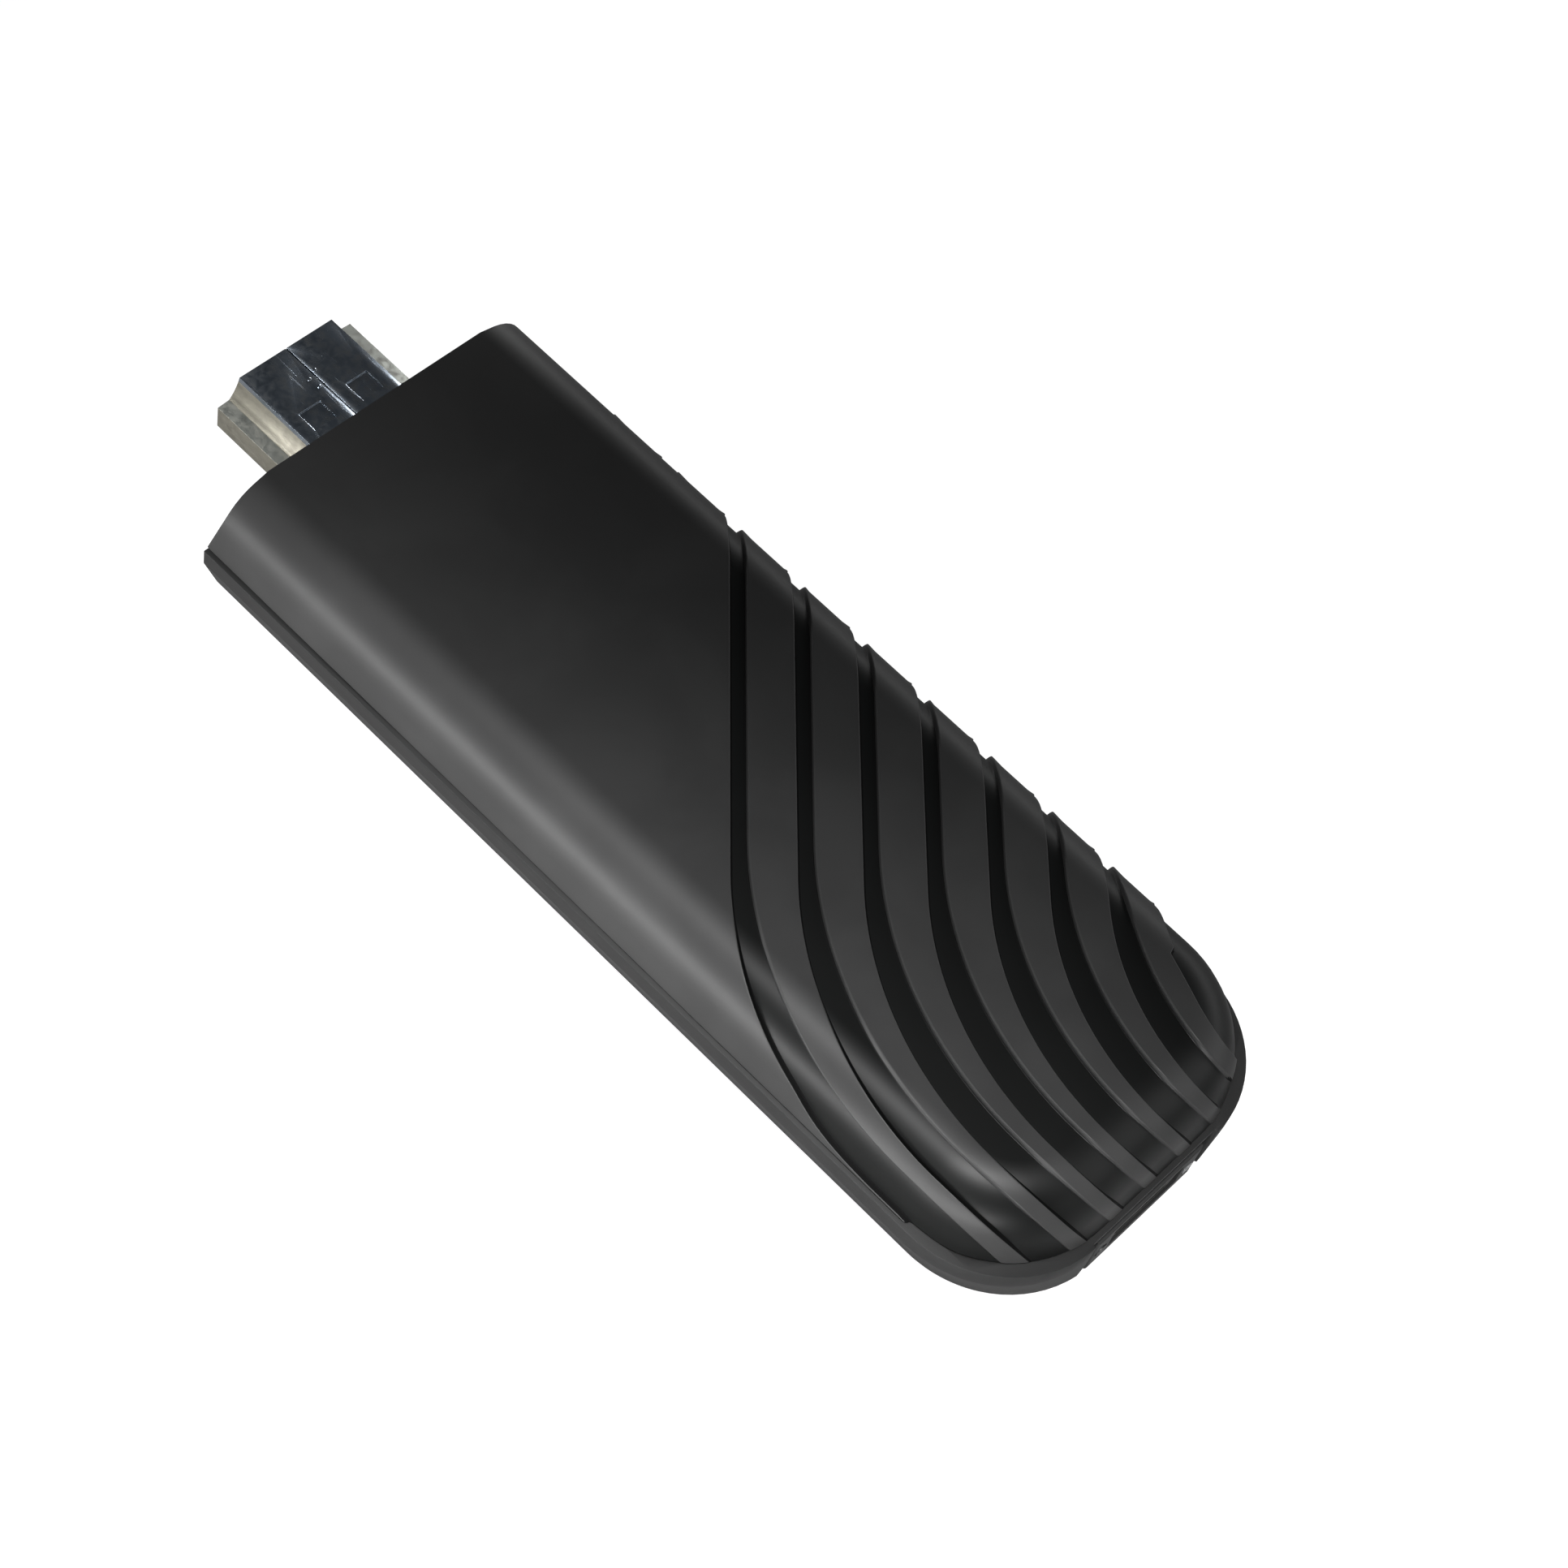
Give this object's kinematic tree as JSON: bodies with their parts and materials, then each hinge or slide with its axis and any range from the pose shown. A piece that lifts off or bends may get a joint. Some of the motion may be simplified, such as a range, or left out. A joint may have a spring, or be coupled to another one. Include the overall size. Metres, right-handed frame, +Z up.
{
  "type": "streaming stick",
  "caption": "Pocket media player stick with a rigid HDMI type A plug, a wave-grooved top cover and a tail port with micro USB inlet, status light and reset button.",
  "frame": {"origin": "centre of the flat underside of the housing", "axes": "+X out of the plug along the stick, +Z up through the grooved cover, +Y across the stick"},
  "size_m": [0.0952, 0.033, 0.0123],
  "materials": {
    "cover_plastic": "fine satin moulded black plastic",
    "shell_plastic": "smooth satin dark grey plastic",
    "port_plastic": "fine matt black plastic",
    "button_plastic": "satin black plastic",
    "plunger_plastic": "natural white plastic",
    "switch_plastic": "black moulded plastic",
    "spring_steel": "bright spring steel",
    "light_guide": "clear polished plastic",
    "led_package": "white package with a clear lens",
    "plug_metal": "nickel plated folded sheet",
    "inlet_metal": "nickel plated sheet",
    "connector_plastic": "black heat resistant plastic",
    "gold_contact": "gold plated contacts",
    "board": "green solder mask on glass epoxy",
    "chip": "black moulded package",
    "shield_metal": "tin plated steel sheet",
    "thermal_pad": "soft blue-grey silicone pad",
    "spreader_metal": "plain pressed aluminium",
    "coil": "dark grey ferrite block",
    "crystal_can": "seam welded metal can",
    "ceramic_part": "fired ceramic with tinned ends",
    "film": "thin black film"
  },
  "bodies": {
    "housing": {"top_cover": "cover_plastic", "bottom_shell": "shell_plastic", "port_bezel": "port_plastic", "switch_body": "switch_plastic", "switch_dome": "spring_steel", "light_pipe": "light_guide", "status_led": "led_package", "usb_shell": "inlet_metal", "usb_tongue": "connector_plastic", "usb_contacts": "gold_contact", "hdmi_shell": "plug_metal", "hdmi_insulator": "connector_plastic", "hdmi_contacts_upper": "gold_contact", "hdmi_contacts_lower": "gold_contact", "circuit_board": "board", "soc_chip": "chip", "ram_chips": "chip", "chip_thermal_pad": "thermal_pad", "shield_frame": "shield_metal", "shield_lid": "shield_metal", "lid_thermal_pad": "thermal_pad", "heat_spreader": "spreader_metal", "flash_chip": "chip", "wifi_module": "shield_metal", "power_chip": "chip", "power_inductors": "coil", "crystal": "crystal_can", "capacitors": "ceramic_part", "antennas": "spring_steel", "insulation_film": "film"},
    "button": {"reset_button": "button_plastic", "switch_plunger": "plunger_plastic"}
  },
  "joints": [
    {"name": "reset_button_press", "type": "slide", "parent": "housing", "child": "button", "axis": [1, 0, 0], "range_m": [0, 0.00025], "stiffness_N_per_m": 3000, "deforming": ["switch_dome"]}
  ]
}
